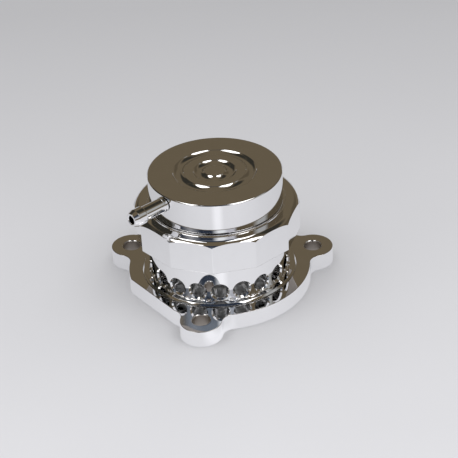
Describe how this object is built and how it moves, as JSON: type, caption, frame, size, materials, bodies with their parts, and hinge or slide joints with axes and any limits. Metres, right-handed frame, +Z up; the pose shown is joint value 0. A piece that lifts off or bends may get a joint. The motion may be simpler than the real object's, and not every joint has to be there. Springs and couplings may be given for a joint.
{
  "type": "blow off valve",
  "caption": "Vent-to-atmosphere blow off valve: eared bolt-on flange, drilled round waist, twelve-sided body and grooved round cap with a side hose nipple over a sprung piston.",
  "frame": {"origin": "middle of the part's footprint on the flange's underside; the valve's axis stands 1.3 mm towards -X and 5.0 mm towards +Y from it", "axes": "+Z up along the valve's axis, from the flange to the cap; +X to the right of the picture's view; +Y away from its camera"},
  "size_m": [0.087, 0.0802, 0.0483],
  "materials": {
    "polished_aluminium": "mirror polished",
    "anodised_aluminium": "hard anodised, satin",
    "seal_rubber": "matte moulded rubber",
    "guide_band_plastic": "plain low-friction plastic",
    "shim_steel": "plain washer steel",
    "spring_steel": "oiled spring wire"
  },
  "bodies": {
    "housing": {"base_flange": "polished_aluminium", "valve_body": "polished_aluminium", "top_cap": "polished_aluminium", "hose_nipple": "polished_aluminium", "cap_o_ring": "seal_rubber", "body_o_ring": "seal_rubber", "flange_o_ring": "seal_rubber", "preload_shim": "shim_steel", "spring": "spring_steel"},
    "piston_group": {"piston": "anodised_aluminium", "nose_seal": "seal_rubber", "piston_guide_band": "guide_band_plastic", "piston_o_ring": "seal_rubber"}
  },
  "joints": [
    {"name": "piston_lift", "type": "slide", "parent": "housing", "child": "piston_group", "axis": [0, 0, 1], "range_m": [0, 0.009], "stiffness_N_per_m": 1500, "springref_m": -0.004, "deforming": ["spring"]}
  ]
}
